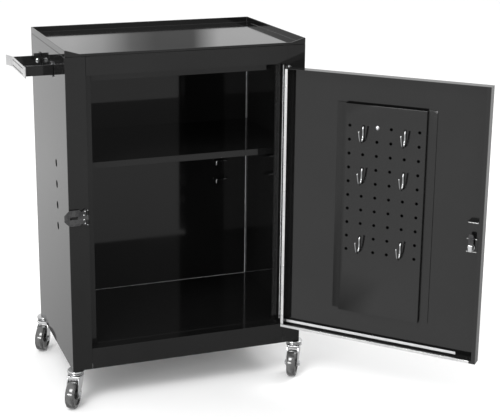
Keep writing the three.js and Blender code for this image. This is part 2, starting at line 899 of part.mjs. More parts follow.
// Flat cam on the plug's tenon, pointing up while the lock is open.
function lockCam() {
  const near = camNearY();
  const half = camWidth / 2;
  const shape = new THREE.Shape();
  shape.moveTo(half, 0);
  shape.lineTo(half, camLength - camChamfer);
  shape.lineTo(half - camChamfer, camLength);
  shape.lineTo(-half + camChamfer, camLength);
  shape.lineTo(-half, camLength - camChamfer);
  shape.lineTo(-half, 0);
  shape.absarc(0, 0, half, Math.PI, 2 * Math.PI);
  const blade = prismY(shape, near, near + camThickness, 8);
  const hole = rodY(plugTenon + seam, near - 1, near + camThickness + 1);
  const geometry = build([blade], [hole]).translate(lockX, 0, lockHeight);
  return part("lock_cam", geometry, blackSteel());
}

// Sheet cover round the lock barrel, open towards the door skin, with a lower upper half.
function lockCover() {
  const x0 = lockX - lockCoverWidth / 2;
  const x1 = lockX + lockCoverWidth / 2;
  const near = sheet + seam;
  const far = doorThickness - lockCoverSetback;
  const z0 = lockHeight - lockCoverBelow;
  const z1 = z0 + lockCoverHeight;
  const stepZ = z0 + lockCoverStepHeight;
  const low = box(x0, x1, near, far, z0, stepZ);
  const high = box(x0, x1, near, far - lockCoverStepDepth, z0, z1);
  const inLow = box(x0 + sheet, x1 - sheet, near - 1, far - sheet, z0 + sheet, stepZ - sheet);
  const highFar = far - lockCoverStepDepth - sheet;
  const inHigh = box(x0 + sheet, x1 - sheet, near - 1, highFar, z0 + sheet, z1 - sheet);
  const bore = rodY(lockBodyRadius + lockClearance, near, far + 1, 24).translate(lockX, 0, lockHeight);
  return part("lock_cover", build([low, high], [inLow, inHigh, bore]), blackEnamel());
}

// ---------------------------------------------------------------- casters

// Kingpin, upper race and threaded stem in one turned piece. Z = 0 is the body's underside.
function casterHead(corner) {
  const geometry = turned([
    [0, crownBottom - kingRivetDrop],
    [kingRivetRadius, crownBottom - kingRivetDrop],
    [kingRivetRadius, crownBottom - casterClearance],
    [stemRadius, crownBottom - casterClearance],
    [stemRadius, crownTop + casterClearance],
    [raceRadius - raceCone, crownTop + casterClearance],
    [raceRadius, crownTop + raceCone],
    [raceRadius, -raceShoulderDrop],
    [raceRadius - raceShoulder, -casterClearance],
    [stemRadius, -casterClearance],
    [stemRadius, stemLength],
    [0, stemLength],
  ], 16);
  return part(`caster_head_${corner}`, geometry, zinc());
}

// Tube standing on the folded bottom of the side panel, around the stem.
function casterSocket(corner) {
  const low = sheet + casterClearance;
  const tube = rodZ(socketRadius, low, low + socketLength, 24);
  const bore = rodZ(stemRadius + casterClearance, low - 1, low + socketLength + 1, 24);
  return part(`caster_socket_${corner}`, build([tube], [bore]), zinc());
}

// Fork: a round crown and two side plates that sweep forward to the axle.
function casterFork(corner) {
  const inside = wheelWidth / 2 + wheelSideGap;
  const outside = inside + forkPlate;
  const boss = axleHead + bossMargin;
  const back = crownRadius - crownBackInset;
  const crown = rodZ(crownRadius, crownBottom, crownTop, 24);
  const bridge = box(-outside, outside, -crownRadius, back, crownBottom, crownTop);
  const cheek = new THREE.Shape();
  cheek.moveTo(back, crownTop);
  cheek.lineTo(-crownRadius, crownTop);
  cheek.lineTo(-casterTrail - boss, axleZ + bossRise);
  cheek.absarc(-casterTrail, axleZ, boss, 0.94 * Math.PI, 1.9 * Math.PI);
  cheek.lineTo(crownRadius - cheekWaistInset, crownBottom - cheekWaistDrop);
  const joined = [crown, bridge];
  for (const x0 of [-outside, inside]) {
    joined.push(prismX(cheek, x0, x0 + forkPlate, 10));
  }
  const kingHole = rodZ(stemRadius + casterClearance, crownBottom - 1, crownTop + 1);
  const axleHole = rodX(axleRadius + casterClearance, -outside - 1, outside + 1);
  const cuts = [kingHole, axleHole.translate(0, -casterTrail, axleZ)];
  return part(`caster_fork_${corner}`, build(joined, cuts), zinc());
}

function casterAxle(corner) {
  const outside = wheelWidth / 2 + wheelSideGap + forkPlate;
  const near = outside + casterClearance;
  const head = axleHeadThickness;
  const geometry = turned([
    [0, -near - head],
    [axleHead, -near - head],
    [axleHead, -near],
    [axleRadius, -near],
    [axleRadius, near],
    [axleHead, near],
    [axleHead, near + head],
    [0, near + head],
  ], 16);
  geometry.rotateY(Math.PI / 2).translate(0, -casterTrail, axleZ);
  return part(`caster_axle_${corner}`, geometry, zinc());
}

// Solid wheel with a dished side and a bored hub, standing on a flat facet of its tread.
function casterWheel(corner) {
  const segments = 24;
  const outer = wheelRadius / Math.cos(Math.PI / segments);
  const half = wheelWidth / 2;
  const bore = axleRadius + casterClearance;
  const hub = axleHead + hubMargin;
  const wall = outer - treadWall;
  const side = [
    [bore, half],
    [hub, half],
    [hub + hubSlope, half - wheelDish],
    [wall, half - wheelDish],
    [wall + treadWallSlope, half],
    [outer - treadShoulder, half],
    [outer, half - treadShoulder],
  ];
  const profile = [
    ...side,
    ...side.map(([r, x]) => [r, -x]).reverse(),
    side[0],
  ];
  const geometry = turned(profile.reverse(), segments);
  geometry.rotateZ(Math.PI / segments).rotateY(Math.PI / 2);
  geometry.translate(0, -casterTrail, axleZ);
  return part(`caster_wheel_${corner}`, geometry, blackRubber());
}

// One caster: the head and socket are fixed, the rest is turned to its heading.
function caster(corner, x, y) {
  const group = new THREE.Group();
  group.position.set(x, y, 0);
  const swivel = new THREE.Group();
  swivel.rotation.z = casterHeading;
  swivel.add(casterFork(corner), casterAxle(corner), casterWheel(corner));
  group.add(casterHead(corner), casterSocket(corner), swivel);
  return group;
}

// ---------------------------------------------------------------- assembly

function cabinet() {
  const group = new THREE.Group();
  group.add(sidePanel("left_side_panel", "left"), sidePanel("right_side_panel", "right"));
  group.add(backPanel(), topTray(), floorPanel());
  group.add(stile("left_stile", "left"), stile("right_stile", "right"), headerRail(), bottomRail());
  group.add(shelf(), shelfRail("shelf_rail_left", "left"), shelfRail("shelf_rail_right", "right"));
  for (const [name, z] of Object.entries(wallHookHeights)) {
    group.add(wallHook(name, z));
  }
  for (const end of ["front", "back"]) {
    group.add(handleBracket(end), handleArm(end), handleBolt(end));
  }
  group.add(handleGrip());
  group.add(haspBase(), haspStrap(), haspPin());
  group.add(hingeLeafFrame(), hingePin());
  return group;
}

// The door is drawn closed and turned open about the hinge pin.
function door() {
  const closed = new THREE.Group();
  closed.position.set(-hingeX, -hingeY, 0);
  closed.add(doorPan(), hingeLeafDoor(), pegboard(), ...pegHooks());
  closed.add(lockHousing(), lockPlug(), lockCam(), lockCover(), haspStaple());
  const swing = new THREE.Group();
  swing.position.set(hingeX, hingeY, 0);
  swing.rotation.z = doorOpenAngle;
  swing.add(closed);
  return swing;
}

function casters() {
  const group = new THREE.Group();
  const farX = bodyWidth - casterInsetX;
  const farY = bodyDepth - casterInsetY;
  group.add(caster("front_left", casterInsetX, casterInsetY));
  group.add(caster("front_right", farX, casterInsetY));
  group.add(caster("rear_left", casterInsetX, farY));
  group.add(caster("rear_right", farX, farY));
  return group;
}

// The whole chest stands on the floor with the middle of its footprint at the origin.
const chest = new THREE.Group();
chest.add(cabinet(), door(), casters());
chest.updateMatrixWorld(true);
const bounds = new THREE.Box3().setFromObject(chest, true);
const middle = bounds.getCenter(new THREE.Vector3());
chest.position.set(-middle.x, -middle.y, -bounds.min.z);
chest.updateMatrixWorld(true);

export default chest;
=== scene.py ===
import json
import math

import bmesh
import bpy
from mathutils import Matrix, Vector


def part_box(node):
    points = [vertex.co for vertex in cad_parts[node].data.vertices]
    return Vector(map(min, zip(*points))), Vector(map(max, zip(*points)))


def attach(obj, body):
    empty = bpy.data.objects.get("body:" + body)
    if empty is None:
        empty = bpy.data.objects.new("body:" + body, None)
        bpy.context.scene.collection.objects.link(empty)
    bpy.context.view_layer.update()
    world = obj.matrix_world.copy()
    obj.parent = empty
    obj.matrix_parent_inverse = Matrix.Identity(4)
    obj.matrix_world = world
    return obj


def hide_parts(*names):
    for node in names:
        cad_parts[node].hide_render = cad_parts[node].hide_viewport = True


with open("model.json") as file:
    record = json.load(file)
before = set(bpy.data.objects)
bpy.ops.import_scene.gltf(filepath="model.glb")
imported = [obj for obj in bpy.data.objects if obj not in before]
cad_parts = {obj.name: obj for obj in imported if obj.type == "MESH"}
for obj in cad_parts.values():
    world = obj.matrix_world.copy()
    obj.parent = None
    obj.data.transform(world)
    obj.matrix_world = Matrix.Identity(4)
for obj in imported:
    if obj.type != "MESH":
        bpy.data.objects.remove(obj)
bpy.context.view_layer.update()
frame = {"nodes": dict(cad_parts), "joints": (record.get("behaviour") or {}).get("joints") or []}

# ---------------------------------------------------------------- where the cabinet stands
# The folded steel body is measured in millimetres from the lower front left corner of its
# left stile; the casters lift that corner off the floor. Everything fixed is set out from it.
MM = 0.001
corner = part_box("left_stile")[0]
from_corner = Matrix.Translation(corner) @ Matrix.Scale(MM, 4)


def at(x, y, z):
    return from_corner @ Vector((x, y, z))


# ---------------------------------------------------------------- studio
# A pale seamless floor under a white surround, with a soft lamp high on each side and a
# long low one to the left. The surround is duller low in front of the chest and behind it,
# as a studio is, and that is what the gloss of the paint picks up.
camera_data = bpy.data.cameras.new("camera")
camera_data.sensor_width = 36
camera_data.lens = 86.592
camera_data.shift_x = 0.10
camera_data.shift_y = -0.109
camera = bpy.data.objects.new("camera", camera_data)
camera.location = at(-429.3, -1970.8, 922.1)
camera.rotation_euler = (math.radians(90 - 14.496), 0, math.radians(-18.795))
bpy.context.scene.collection.objects.link(camera)
bpy.context.scene.camera = camera
bpy.context.scene.view_settings.view_transform = "Standard"

FLOOR_RADIUS = 14.0
floor_mesh = bpy.data.meshes.new("floor")
floor_bm = bmesh.new()
bmesh.ops.create_circle(floor_bm, cap_ends=True, segments=96, radius=FLOOR_RADIUS)
floor_bm.to_mesh(floor_mesh)
floor_bm.free()
floor = bpy.data.objects.new("floor", floor_mesh)
bpy.context.scene.collection.objects.link(floor)
floor.visible_glossy = False

floor_paint = bpy.data.materials.new("floor_paint")
floor_paint.use_nodes = True
floor_shader = floor_paint.node_tree.nodes["Principled BSDF"]
floor_shader.inputs["Base Color"].default_value = (0.93, 0.93, 0.93, 1)
floor_shader.inputs["Roughness"].default_value = 0.9
floor_shader.inputs["Specular IOR Level"].default_value = 0.1
floor_mesh.materials.append(floor_paint)


def ramp(tree, stops, source, mode="EASE"):
    node = tree.nodes.new("ShaderNodeValToRGB")
    node.color_ramp.interpolation = mode
    elements = node.color_ramp.elements
    while len(elements) < len(stops):
        elements.new(0.5)
    for element, (place, value) in zip(elements, stops):
        element.position = place
    for element, (place, value) in zip(elements, stops):
        element.position = place
        element.color = (value, value, value, 1)
    tree.links.new(source, node.inputs["Fac"])
    return node.outputs["Color"]


def math_node(tree, operation, a, b=0.0):
    node = tree.nodes.new("ShaderNodeMath")
    node.operation = operation
    for socket, value in zip(node.inputs, (a, b)):
        if isinstance(value, (int, float)):
            socket.default_value = value
        else:
            tree.links.new(value, socket)
    return node.outputs[0]


def turn(degrees):
    """Share of a full turn for a bearing from straight behind the chest towards its right."""
    return degrees / 360 + 0.5


world = bpy.data.worlds.new("studio")
bpy.context.scene.world = world
world.use_nodes = True
sky = world.node_tree
sky.nodes.clear()
direction = sky.nodes.new("ShaderNodeTexCoord")
split = sky.nodes.new("ShaderNodeSeparateXYZ")
sky.links.new(direction.outputs["Generated"], split.inputs["Vector"])
bearing = math_node(sky, "ARCTAN2", split.outputs["X"], split.outputs["Y"])
bearing = math_node(sky, "MULTIPLY_ADD", bearing, 1 / (2 * math.pi))
bearing.node.inputs[2].default_value = 0.5
BRIGHTEST = 2.0
OVERHEAD_PANEL = 0.6
DIFFUSE_FILL = 1.35
around = ramp(sky, [
    (0.0, 0.38), (turn(-150), 0.36), (turn(-110), 0.5), (turn(-60), 0.52), (turn(-8), 0.56),
    (turn(13.4), 0.56), (turn(15.6), 0.14), (turn(18.9), 0.0), (turn(19.7), 0.54),
    (turn(40), 0.55), (turn(90), 0.5), (turn(140), 0.28), (turn(160), 0.36), (1.0, 0.38),
], bearing, "LINEAR")
left_wall = ramp(sky, [
    (turn(-150), 0.0), (turn(-132), 0.62), (turn(-108), 0.62), (turn(-90), 0.1),
], bearing, "LINEAR")
height = math_node(sky, "MULTIPLY_ADD", split.outputs["Z"], 0.5)
height.node.inputs[2].default_value = 0.5
low = ramp(sky, [
    (0.0, 0.35), (0.25, 0.5), (0.297, 0.62), (0.329, 0.78), (0.371, 1.0), (1.0, 1.0),
], height, "LINEAR")
ring = math_node(sky, "MAXIMUM", math_node(sky, "MULTIPLY", around, low), left_wall)
overhead = ramp(sky, [(0.0, 0.0), (0.62, 0.0), (0.78, 1.0), (1.0, 1.0)], height)
upper = sky.nodes.new("ShaderNodeMix")
sky.links.new(overhead, upper.inputs[0])
sky.links.new(ring, upper.inputs[2])
upper.inputs[3].default_value = OVERHEAD_PANEL
surround = math_node(sky, "MULTIPLY", upper.outputs[0], BRIGHTEST)
path = sky.nodes.new("ShaderNodeLightPath")
chosen = sky.nodes.new("ShaderNodeMix")
sky.links.new(path.outputs["Is Glossy Ray"], chosen.inputs[0])
chosen.inputs[2].default_value = DIFFUSE_FILL
sky.links.new(surround, chosen.inputs[3])
background = sky.nodes.new("ShaderNodeBackground")
seen = sky.nodes.new("ShaderNodeMix")
sky.links.new(path.outputs["Is Camera Ray"], seen.inputs[0])
sky.links.new(chosen.outputs[0], seen.inputs[2])
seen.inputs[3].default_value = 1.0
sky.links.new(seen.outputs[0], background.inputs["Strength"])
sky_output = sky.nodes.new("ShaderNodeOutputWorld")
sky.links.new(background.outputs["Background"], sky_output.inputs["Surface"])


def soft_lamp(name, place, target, size, watts):
    data = bpy.data.lights.new(name, "AREA")
    data.shape = "RECTANGLE"
    data.size, data.size_y = size
    data.energy = watts
    lamp = bpy.data.objects.new(name, data)
    lamp.location = place
    lamp.rotation_euler = (Vector(target) - Vector(place)).to_track_quat("-Z", "Y").to_euler()
    bpy.context.scene.collection.objects.link(lamp)


soft_lamp("lamp_above_left", (-1.6, -1.4, 2.6), (0, 0, 0.4), (1.2, 1.2), 45)
soft_lamp("lamp_above_right", (2.2, 0.6, 2.4), (0, 0, 0.4), (1.0, 1.0), 22)
soft_lamp("lamp_low_left", (-2.1, -1.75, 0.88), (0, 0, 0.1), (1.6, 0.4), 26)

# ---------------------------------------------------------------- gloss black enamel
# The cabinet is sprayed with a thick gloss black enamel. The film has a fine orange peel,
# a faint waviness of the sheet under it, and a little dust and rubbing that dulls it.
surface = bpy.data.node_groups.new("surface_detail", "ShaderNodeTree")
for label, default in (("Grain Scale", 400.0), ("Patch Scale", 9.0), ("Patch Contrast", 1.0)):
    socket = surface.interface.new_socket(name=label, in_out="INPUT", socket_type="NodeSocketFloat")
    socket.default_value = default
for label in ("Grain", "Patches", "Specks"):
    surface.interface.new_socket(name=label, in_out="OUTPUT", socket_type="NodeSocketFloat")
group_in = surface.nodes.new("NodeGroupInput")
group_out = surface.nodes.new("NodeGroupOutput")
place = surface.nodes.new("ShaderNodeTexCoord")


def noise(tree, scale, detail, coordinates):
    node = tree.nodes.new("ShaderNodeTexNoise")
    node.inputs["Detail"].default_value = detail
    if isinstance(scale, (int, float)):
        node.inputs["Scale"].default_value = scale
    else:
        tree.links.new(scale, node.inputs["Scale"])
    tree.links.new(coordinates, node.inputs["Vector"])
    return node.outputs[0]


def remap(tree, value, from_low, from_high, to_low, to_high):
    node = tree.nodes.new("ShaderNodeMapRange")
    tree.links.new(value, node.inputs["Value"])
    node.inputs["From Min"].default_value = from_low
    node.inputs["From Max"].default_value = from_high
    node.inputs["To Min"].default_value = to_low
    node.inputs["To Max"].default_value = to_high
    return node.outputs["Result"]


grain = noise(surface, group_in.outputs["Grain Scale"], 2.0, place.outputs["Object"])
patches = noise(surface, group_in.outputs["Patch Scale"], 4.0, place.outputs["Object"])
patches = math_node(surface, "MULTIPLY", remap(surface, patches, 0.35, 0.65, 0, 1),
                    group_in.outputs["Patch Contrast"])
specks = remap(surface, noise(surface, 900.0, 0.0, place.outputs["Object"]), 0.74, 0.8, 0, 1)
surface.links.new(grain, group_out.inputs["Grain"])
surface.links.new(patches, group_out.inputs["Patches"])
surface.links.new(specks, group_out.inputs["Specks"])


def finish_material(name, colour, worn_colour, roughness, bump, scales, metallic=0.0, ior=1.5):
    """A sprayed, plated or moulded finish: colour and gloss drift in patches over a fine grain."""
    material = bpy.data.materials.new(name)
    material.use_nodes = True
    tree = material.node_tree
    shader = tree.nodes["Principled BSDF"]
    shader.inputs["Metallic"].default_value = metallic
    shader.inputs["IOR"].default_value = ior
    detail = tree.nodes.new("ShaderNodeGroup")
    detail.node_tree = surface
    detail.inputs["Grain Scale"].default_value = scales[0]
    detail.inputs["Patch Scale"].default_value = scales[1]
    drift = math_node(tree, "MULTIPLY", detail.outputs["Patches"], 0.6)
    marks = math_node(tree, "MAXIMUM", drift, detail.outputs["Specks"])
    blend = tree.nodes.new("ShaderNodeMix")
    blend.data_type = "RGBA"
    tree.links.new(marks, blend.inputs[0])
    blend.inputs[6].default_value = (*colour, 1)
    blend.inputs[7].default_value = (*worn_colour, 1)
    tree.links.new(blend.outputs[2], shader.inputs["Base Color"])
    tree.links.new(remap(tree, detail.outputs["Patches"], 0, 1, *roughness), shader.inputs["Roughness"])
    relief = tree.nodes.new("ShaderNodeBump")
    relief.inputs["Strength"].default_value = bump[0]
    relief.inputs["Distance"].default_value = bump[1] * MM
    tree.links.new(detail.outputs["Grain"], relief.inputs["Height"])
    tree.links.new(relief.outputs["Normal"], shader.inputs["Normal"])
    return material


enamel = finish_material("gloss_black_enamel", (0.0045,) * 3, (0.007,) * 3, (0.04, 0.09),
                         (0.10, 0.03), (260.0, 7.0), ior=1.5)


def add_piece(name, mesh, material, body, nodes=()):
    """Gives a mesh its finish, the body it rides on and the CAD nodes it stands for."""
    mesh.materials.clear()
    mesh.materials.append(material)
    piece = bpy.data.objects.new(name, mesh)
    bpy.context.scene.collection.objects.link(piece)
    if nodes:
        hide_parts(*nodes)
    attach(piece, body)
    return piece


def round_edges(piece, width, segments=2):
    """Rolls every folded or sheared edge to a small radius."""
    bevel = piece.modifiers.new("rolled_edges", "BEVEL")
    bevel.width = width * MM
    bevel.segments = segments
    bevel.limit_method = "ANGLE"
    bevel.angle_limit = math.radians(30)
    bevel.harden_normals = True
    return piece


def folded_sheet(node, body, material=enamel, radius=0.4):
    """The CAD shape of a pressed sheet with its facets joined up and its edges rolled."""
    mesh = frame["nodes"][node].data.copy()
    bm = bmesh.new()
    bm.from_mesh(mesh)
    bmesh.ops.remove_doubles(bm, verts=bm.verts, dist=1e-5)
    bmesh.ops.dissolve_limit(
        bm, angle_limit=math.radians(1), verts=bm.verts, edges=bm.edges,
    )
    for face in bm.faces:
        face.smooth = True
    bm.to_mesh(mesh)
    bm.free()
    for attribute in ("custom_normal", "sharp_face", "sharp_edge"):
        if attribute in mesh.attributes:
            mesh.attributes.remove(mesh.attributes[attribute])
    piece = add_piece(f"{node}_sheet", mesh, material, body, [node])
    return round_edges(piece, radius)


# ---------------------------------------------------------------- cabinet shell
# Side panels, back, stiles, rails, floor pan, shelf and its rails: 1 mm steel, sheared,
# folded on a press brake, spot-welded at the seams and sprayed as one.
for node in (
    "left_side_panel", "right_side_panel", "back_panel", "left_stile", "right_stile",
    "header_rail", "bottom_rail", "floor_panel", "shelf", "shelf_rail_left", "shelf_rail_right",
):
    folded_sheet(node, "cabinet")

# ---------------------------------------------------------------- top tray
# A pressed tray with a rim all round, folded thicker than the body and laid on top of it.
folded_sheet("top_tray", "cabinet", radius=0.7)

# ---------------------------------------------------------------- door pan
# The door is a pan with four edges folded back and a narrow lip turned in at its free side
# and its foot, sprayed with the body.
folded_sheet("door_pan", "door")

swing = next(joint for joint in frame["joints"] if joint["name"] == "door_swing")
pin = Vector(swing["pos_m"])
opened = Matrix.Rotation(math.radians(-swing["range_deg"][0]), 4, "Z")
# Takes millimetres drawn with the door shut to where the door stands open at rest.
on_door = Matrix.Translation(pin) @ opened @ Matrix.Translation(-pin) @ from_corner

# ---------------------------------------------------------------- piano hinge and painted door highlights
# A full-height piano hinge in bright steel, and bright strips along the hinge side and the
# foot of the door: painted highlights, standing in for the light that its rounded lips catch.
bright_steel = finish_material("bright_steel", (0.80, 0.80, 0.80), (0.55, 0.55, 0.56), (0.16, 0.34),
                               (0.25, 0.04), (700.0, 30.0), metallic=1.0)
zinc = finish_material("zinc_plate", (0.72, 0.73, 0.74), (0.5, 0.5, 0.52), (0.2, 0.38),
                       (0.3, 0.04), (600.0, 40.0), metallic=1.0)
for node, body in (("hinge_leaf_frame", "cabinet"), ("hinge_leaf_door", "door")):
    folded_sheet(node, body, bright_steel, 0.15)
folded_sheet("hinge_pin", "cabinet", zinc, 0.15)


def block(bm, low, high):
    """One rectangular strip between two corners, in millimetres."""
    made = bmesh.ops.create_cube(bm, size=1)["verts"]
    size = [b - a for a, b in zip(low, high)]
    middle = [(a + b) / 2 for a, b in zip(low, high)]
    for vertex in made:
        vertex.co = Vector([m + c * s for m, c, s in zip(middle, vertex.co, size)])


def make_mesh(name, bm, matrix, smooth_angle=35):
    """Places a mesh drawn in millimetres and shades it smooth up to the given angle."""
    bm.transform(matrix)
    bmesh.ops.recalc_face_normals(bm, faces=bm.faces)
    mesh = bpy.data.meshes.new(name)
    bm.to_mesh(mesh)
    bm.free()
    mesh.polygons.foreach_set("use_smooth", [True] * len(mesh.polygons))
    mesh.set_sharp_from_angle(angle=math.radians(smooth_angle))
    return mesh


def in_corner(node, matrix):
    """A node's box at rest as millimetres of the frame that the matrix sets out."""
    inverse = matrix.inverted()
    points = [inverse @ v.co for v in frame["nodes"][node].data.vertices]
    low = Vector([min(p[i] for p in points) for i in range(3)])
    high = Vector([max(p[i] for p in points) for i in range(3)])
    return low, high


def strips(name, corners, matrix, material, body, rounding, segments=2, nodes=()):
    """Rectangular strips between pairs of corners, in millimetres, as one piece."""
    bm = bmesh.new()
    for low, high in corners:
        block(bm, low, high)
    piece = add_piece(name, make_mesh(name, bm, matrix), material, body, nodes)
    return round_edges(piece, rounding, segments)


door_low, door_high = in_corner("door_pan", on_door)
STRIP = 0.8
STRIP_OVERHANG = 2.2
STRIP_FOOT_GAP = 6
# The hinge-side strip is a painted highlight: the light caught by the door's rounded hinge-side lip.
strips("door_hinge_highlight_strip", [
    ((door_high.x - 3.2, door_high.y + 0.05, door_low.z + STRIP_FOOT_GAP),
     (door_high.x + STRIP_OVERHANG, door_high.y + STRIP, door_high.z - 1)),
], on_door, bright_steel, "door", 0.25)

FOOT_BAND = 4.8
FOOT_START = 11
# A pale matt metal used only for painted highlights: the band on the door skin, the pale lines inside the
# cabinet and the edge of the jamb leaf.
highlight_zinc = finish_material("highlight_zinc", (0.86, 0.86, 0.87), (0.62, 0.62, 0.63), (0.5, 0.65),
                            (0.3, 0.05), (500.0, 50.0), metallic=0.35)
# The strip along the foot is a painted highlight, standing in for the light the door's rounded foot lip
# catches.
strips("door_foot_highlight_strip", [
    ((door_low.x + FOOT_START, door_high.y + 0.05, door_low.z + 0.2),
     (door_high.x + STRIP_OVERHANG, door_high.y + STRIP, door_low.z + FOOT_BAND)),
], on_door, bright_steel, "door", 0.2)
SKIN_START = 40
SKIN_BAND = (3.8, 8.6)
# The pale band on the skin just above the foot is a painted highlight, where the flange above the lip
# catches light.
strips("door_skin_highlight_strip", [
    ((door_low.x + SKIN_START, door_low.y + 1.05, door_low.z + SKIN_BAND[0]),
     (door_high.x - 1.3, door_low.y + 1.9, door_low.z + SKIN_BAND[1])),
], on_door, highlight_zinc, "door", 0.2)

# ---------------------------------------------------------------- painted highlights inside the cabinet
# Where the back panel meets the side and the floor pan, fine pale strips are laid along the
# seams: painted highlights standing in for the light caught along these corners.
back_low, back_high = in_corner("back_panel", from_corner)
pan_top = in_corner("floor_panel", from_corner)[1].z
shelf_low, shelf_high = in_corner("shelf", from_corner)
front = back_low.y
side_seam_highlights = [
    ((back_high.x - 1.5, front - 0.9, low_z), (back_high.x - 0.4, front - 0.1, high_z))
    for low_z, high_z in ((pan_top + 0.5, shelf_low.z - 1), (shelf_high.z + 1, back_high.z - 2))
]
floor_seam_highlight = ((back_low.x + 1, front - 0.9, pan_top + 0.1), (back_high.x - 2, front - 0.3, pan_top + 0.5))
strips("inner_seam_highlights", [*side_seam_highlights, floor_seam_highlight], from_corner, highlight_zinc, "cabinet", 0.15)

# ---------------------------------------------------------------- pegboard
# A tray of perforated sheet stands off the inside of the door on two folded walls, with a
# flat wing along each side that is spot-welded to the door skin.
peg_low, peg_high = in_corner("pegboard", on_door)
PEG_WING = 15.5
PEG_SHEET = 1.0
PEG_PITCH = 25.4
PEG_HOLE = 2.8
PEG_COLUMNS = 6
PEG_ROWS = 10
PEG_TOP_MARGIN = 39.0
peg_left = peg_low.x + PEG_WING
peg_right = peg_high.x - PEG_WING
peg_first = (peg_left + peg_right) / 2 - (PEG_COLUMNS - 1) * PEG_PITCH / 2
peg_top = peg_high.z - PEG_TOP_MARGIN

section = [
    (peg_low.x, peg_low.y), (peg_left + PEG_SHEET, peg_low.y),
    (peg_left + PEG_SHEET, peg_high.y - PEG_SHEET), (peg_right - PEG_SHEET, peg_high.y - PEG_SHEET),
    (peg_right - PEG_SHEET, peg_low.y), (peg_high.x, peg_low.y),
    (peg_high.x, peg_low.y + PEG_SHEET), (peg_right, peg_low.y + PEG_SHEET),
    (peg_right, peg_high.y), (peg_left, peg_high.y),
    (peg_left, peg_low.y + PEG_SHEET), (peg_low.x, peg_low.y + PEG_SHEET),
]
bm = bmesh.new()
outline = bm.faces.new([bm.verts.new((x, y, peg_low.z)) for x, y in section])
raised = bmesh.ops.extrude_face_region(bm, geom=[outline])
for vertex in [v for v in raised["geom"] if isinstance(v, bmesh.types.BMVert)]:
    vertex.co.z = peg_high.z
blank = add_piece("pegboard_blank", make_mesh("pegboard_blank", bm, Matrix()), enamel, "door")
bevel = blank.modifiers.new("rolled_edges", "BEVEL")
bevel.width = 0.7
bevel.segments = 3
bevel.angle_limit = math.radians(30)


def new_tree(name, inputs):
    """A Geometry Nodes tree with one geometry in, one out, and the named sizes."""
    tree = bpy.data.node_groups.new(name, "GeometryNodeTree")
    tree.interface.new_socket(name="Geometry", in_out="INPUT", socket_type="NodeSocketGeometry")
    for label, kind in inputs:
        tree.interface.new_socket(name=label, in_out="INPUT", socket_type=kind)
    tree.interface.new_socket(name="Geometry", in_out="OUTPUT", socket_type="NodeSocketGeometry")
    return tree, tree.nodes.new("NodeGroupInput"), tree.nodes.new("NodeGroupOutput")


def set_inputs(modifier, values):
    """Sets a tree's named sizes on its modifier by each socket's identifier."""
    for item in modifier.node_group.interface.items_tree:
        if item.item_type == "SOCKET" and item.in_out == "INPUT" and item.name in values:
            modifier[item.identifier] = values[item.name]


def bake_nodes(source, tree, values, name):
    """Runs a tree on an object and gives its result as a plain mesh."""
    modifier = source.modifiers.new(tree.name, "NODES")
    modifier.node_group = tree
    set_inputs(modifier, values)
    depsgraph = bpy.context.evaluated_depsgraph_get()
    result = bpy.data.meshes.new_from_object(source.evaluated_get(depsgraph))
    result.name = name
    source.modifiers.remove(modifier)
    bpy.data.objects.remove(source)
    return result


punch, punch_in, punch_out = new_tree("punched_holes", (
    ("Columns", "NodeSocketInt"), ("Rows", "NodeSocketInt"), ("Pitch", "NodeSocketFloat"),
    ("Radius", "NodeSocketFloat"), ("Depth", "NodeSocketFloat"), ("Middle", "NodeSocketVector"),
    ("Finish", "NodeSocketMaterial"),
))


def link(tree, source, target):
    tree.links.new(source, target)


def span(tree, count, pitch):
    return math_node(tree, "MULTIPLY", math_node(tree, "SUBTRACT", count, 1.0), pitch)


grid = punch.nodes.new("GeometryNodeMeshGrid")
link(punch, punch_in.outputs["Columns"], grid.inputs["Vertices X"])
link(punch, punch_in.outputs["Rows"], grid.inputs["Vertices Y"])
link(punch, span(punch, punch_in.outputs["Columns"], punch_in.outputs["Pitch"]), grid.inputs["Size X"])
link(punch, span(punch, punch_in.outputs["Rows"], punch_in.outputs["Pitch"]), grid.inputs["Size Y"])
drill = punch.nodes.new("GeometryNodeMeshCylinder")
drill.inputs["Vertices"].default_value = 20
link(punch, punch_in.outputs["Radius"], drill.inputs["Radius"])
link(punch, punch_in.outputs["Depth"], drill.inputs["Depth"])
drills = punch.nodes.new("GeometryNodeInstanceOnPoints")
link(punch, grid.outputs["Mesh"], drills.inputs["Points"])
link(punch, drill.outputs["Mesh"], drills.inputs["Instance"])
stand = punch.nodes.new("GeometryNodeTransform")
stand.inputs["Rotation"].default_value = (math.radians(90), 0, 0)
link(punch, drills.outputs["Instances"], stand.inputs["Geometry"])
link(punch, punch_in.outputs["Middle"], stand.inputs["Translation"])
real_drills = punch.nodes.new("GeometryNodeRealizeInstances")
link(punch, stand.outputs["Geometry"], real_drills.inputs["Geometry"])
cut = punch.nodes.new("GeometryNodeMeshBoolean")
cut.operation = "DIFFERENCE"
link(punch, punch_in.outputs["Geometry"], cut.inputs["Mesh 1"])
link(punch, real_drills.outputs["Geometry"], cut.inputs["Mesh 2"])
real = punch.nodes.new("GeometryNodeRealizeInstances")
link(punch, cut.outputs["Mesh"], real.inputs["Geometry"])
paint = punch.nodes.new("GeometryNodeSetMaterial")
link(punch, real.outputs["Geometry"], paint.inputs["Geometry"])
link(punch, punch_in.outputs["Finish"], paint.inputs["Material"])
link(punch, paint.outputs["Geometry"], punch_out.inputs["Geometry"])

